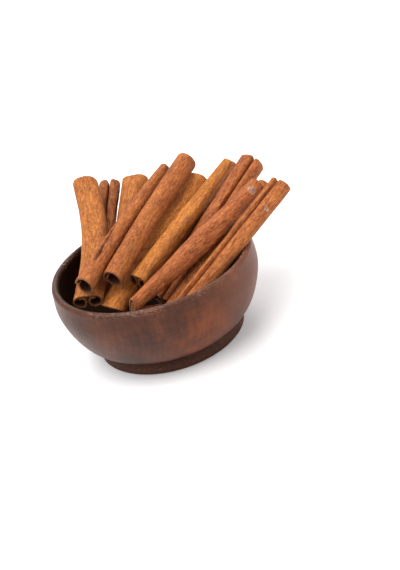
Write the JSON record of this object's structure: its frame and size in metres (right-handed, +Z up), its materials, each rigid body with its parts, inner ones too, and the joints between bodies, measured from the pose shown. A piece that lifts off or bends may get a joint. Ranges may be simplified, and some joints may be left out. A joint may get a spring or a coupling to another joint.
{
  "type": "bowl of cinnamon sticks",
  "caption": "Rolled cinnamon bark sticks leaning in a small dark turned wooden bowl with a low foot, as a spice still life.",
  "frame": {"origin": "centre of the flat underside of the bowl's foot", "axes": "+Z up, -Y the front of the bowl, where the lower ends of the sticks show, +X to the right; the sticks lean back and to the right"},
  "size_m": [0.1404, 0.1436, 0.0799],
  "materials": {
    "bowl_wood": "dark varnished turned wood, semi-gloss",
    "bark_01": "dry matte rolled bark",
    "bark_02": "dry matte rolled bark",
    "bark_03": "dry matte rolled bark",
    "bark_04": "dry matte rolled bark",
    "bark_05": "dry matte rolled bark",
    "bark_06": "dry matte rolled bark",
    "bark_07": "dry matte rolled bark",
    "bark_08": "dry matte rolled bark",
    "bark_09": "dry matte rolled bark",
    "bark_10": "dry matte rolled bark",
    "bark_11": "dry matte rolled bark",
    "bark_12": "dry matte rolled bark",
    "bark_13": "dry matte rolled bark",
    "bark_14": "dry matte rolled bark"
  },
  "bodies": {
    "root": {"bowl": "bowl_wood", "stick_01": "bark_01", "stick_02": "bark_02", "stick_03": "bark_03", "stick_04": "bark_04", "stick_05": "bark_05", "stick_06": "bark_06", "stick_07": "bark_07", "stick_08": "bark_08", "stick_09": "bark_09", "stick_10": "bark_10", "stick_11": "bark_11", "stick_12": "bark_12", "stick_13": "bark_13", "stick_14": "bark_14"}
  },
  "joints": []
}
